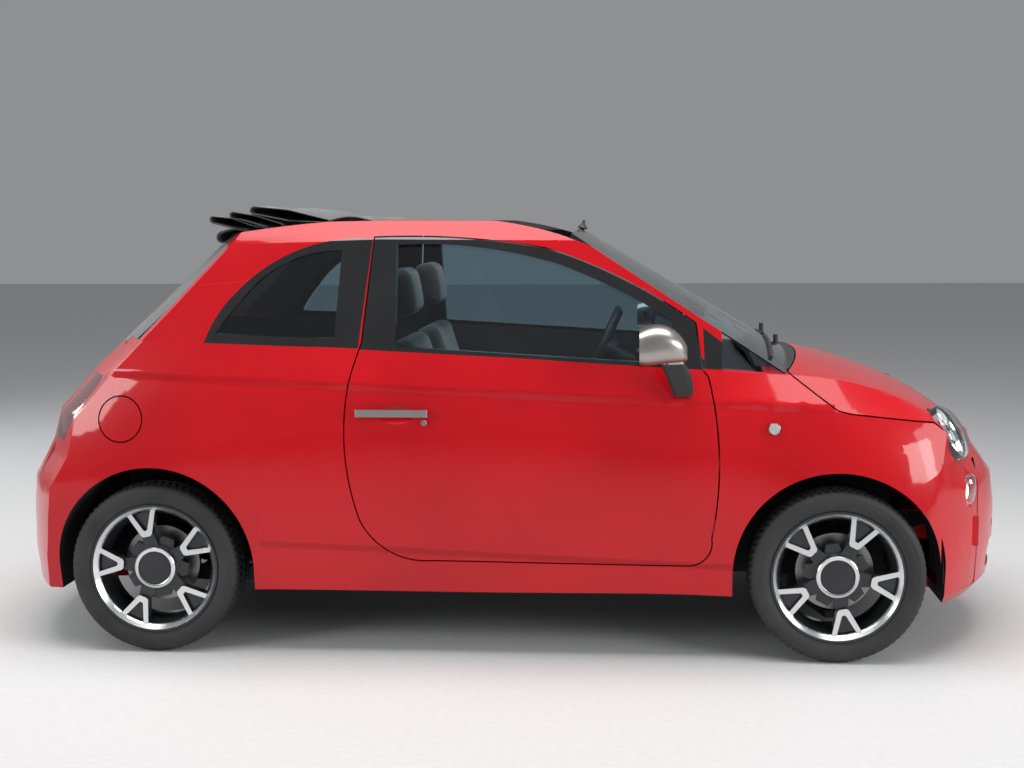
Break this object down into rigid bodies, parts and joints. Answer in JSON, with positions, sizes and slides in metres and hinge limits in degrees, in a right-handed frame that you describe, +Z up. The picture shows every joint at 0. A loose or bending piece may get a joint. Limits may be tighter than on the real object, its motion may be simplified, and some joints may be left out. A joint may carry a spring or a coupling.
{
  "type": "convertible car",
  "caption": "Small two-door city car with a fabric roof folded open in pleats over the rear seats, opening doors, bonnet and boot lid, and steered alloy wheels.",
  "frame": {"origin": "on the ground, at the middle of the car's length and width", "axes": "+X forward, +Y to the car's left, +Z up"},
  "size_m": [3.569, 1.9646, 1.518],
  "materials": {
    "red_paint": "deep gloss clear coat",
    "black_plastic": "fine grained satin",
    "black_gloss": "gloss black",
    "window_glass": "clear, lightly tinted",
    "roof_fabric": "woven matt cloth",
    "lamp_lens": "clear moulded lens over a bright bowl",
    "tail_lens": "red moulded lens",
    "dash_plastic": "soft grained",
    "seat_cloth": "woven upholstery",
    "dark_metal": "painted black",
    "satin_titanium": "satin titanium grey",
    "wheel_alloy": "black spokes with machined faces",
    "tyre_rubber": "matt rubber",
    "wheel_leather": "smooth leather"
  },
  "bodies": {
    "body": {"floor_pan": "red_paint", "body_side_right": "red_paint", "body_side_left": "red_paint", "front_wings": "red_paint", "front_bumper": "red_paint", "rear_bumper": "red_paint", "tail_panel": "red_paint", "cowl": "black_plastic", "windscreen": "window_glass", "windscreen_header": "black_plastic", "folded_roof": "roof_fabric", "rear_canvas": "roof_fabric", "rear_glass": "window_glass", "headlamps": "lamp_lens", "tail_lamps": "tail_lens", "dashboard": "dash_plastic", "front_seats": "seat_cloth", "rear_seat": "seat_cloth", "engine": "dark_metal", "underbody": "dark_metal", "front_subframe": "dark_metal", "rear_axle": "dark_metal", "front_grille": "black_plastic", "side_surrounds": "black_gloss"},
    "bonnet": {"bonnet": "red_paint"},
    "boot_lid": {"boot_lid": "red_paint"},
    "fuel_flap": {"fuel_flap": "red_paint"},
    "steering_wheel": {"steering_wheel": "wheel_leather"},
    "door_left": {"door_left": "red_paint", "door_glass_left": "window_glass", "door_trim_left": "black_gloss"},
    "knuckle_left": {"knuckle_left": "dark_metal"},
    "wheel_front_left": {"rim_front_left": "wheel_alloy", "tyre_front_left": "tyre_rubber"},
    "wheel_rear_left": {"rim_rear_left": "wheel_alloy", "tyre_rear_left": "tyre_rubber"},
    "door_right": {"door_right": "red_paint", "door_glass_right": "window_glass", "door_trim_right": "black_gloss"},
    "knuckle_right": {"knuckle_right": "dark_metal"},
    "wheel_front_right": {"rim_front_right": "wheel_alloy", "tyre_front_right": "tyre_rubber"},
    "wheel_rear_right": {"rim_rear_right": "wheel_alloy", "tyre_rear_right": "tyre_rubber"}
  },
  "joints": [
    {"name": "steer_left", "type": "hinge", "parent": "body", "child": "knuckle_left", "pos_m": [1.1345, 0.65, 0.15], "axis": [0, -0.2109, 0.9775], "range_deg": [-32, 32]},
    {"name": "steer_right", "type": "hinge", "parent": "body", "child": "knuckle_right", "pos_m": [1.1345, -0.65, 0.15], "axis": [0, 0.2109, 0.9775], "range_deg": [-32, 32]},
    {"name": "steering_wheel_turn", "type": "hinge", "parent": "body", "child": "steering_wheel", "pos_m": [0.33, 0.36, 0.945], "axis": [-0.9207, 0, 0.3903], "range_deg": [-448, 448]},
    {"name": "door_left_hinge", "type": "hinge", "parent": "body", "child": "door_left", "pos_m": [0.745, 0.812, 0.6], "axis": [0, 0, -1], "range_deg": [0, 65]},
    {"name": "wheel_front_left_spin", "type": "hinge", "parent": "knuckle_left", "child": "wheel_front_left", "pos_m": [1.1345, 0.7065, 0.291], "axis": [0, 1, 0], "continuous": true},
    {"name": "wheel_rear_left_spin", "type": "hinge", "parent": "body", "child": "wheel_rear_left", "pos_m": [-1.1655, 0.7035, 0.291], "axis": [0, 1, 0], "continuous": true},
    {"name": "door_right_hinge", "type": "hinge", "parent": "body", "child": "door_right", "pos_m": [0.745, -0.812, 0.6], "axis": [0, 0, 1], "range_deg": [0, 65]},
    {"name": "wheel_front_right_spin", "type": "hinge", "parent": "knuckle_right", "child": "wheel_front_right", "pos_m": [1.1345, -0.7065, 0.291], "axis": [0, 1, 0], "continuous": true},
    {"name": "wheel_rear_right_spin", "type": "hinge", "parent": "body", "child": "wheel_rear_right", "pos_m": [-1.1655, -0.7035, 0.291], "axis": [0, 1, 0], "continuous": true},
    {"name": "bonnet_hinge", "type": "hinge", "parent": "body", "child": "bonnet", "pos_m": [0.955, 0, 0.99], "axis": [0, -1, 0], "range_deg": [0, 60]},
    {"name": "boot_lid_hinge", "type": "hinge", "parent": "body", "child": "boot_lid", "pos_m": [-1.478, 0, 1.003], "axis": [0, 1, 0], "range_deg": [0, 80]},
    {"name": "fuel_flap_hinge", "type": "hinge", "parent": "body", "child": "fuel_flap", "pos_m": [-1.1935, -0.801, 0.802], "axis": [0, 0, 1], "range_deg": [0, 85]}
  ],
  "couplings": [
    {"joint": "steer_right", "follows": "steer_left", "ratio": 1},
    {"joint": "steering_wheel_turn", "follows": "steer_left", "ratio": 14}
  ]
}
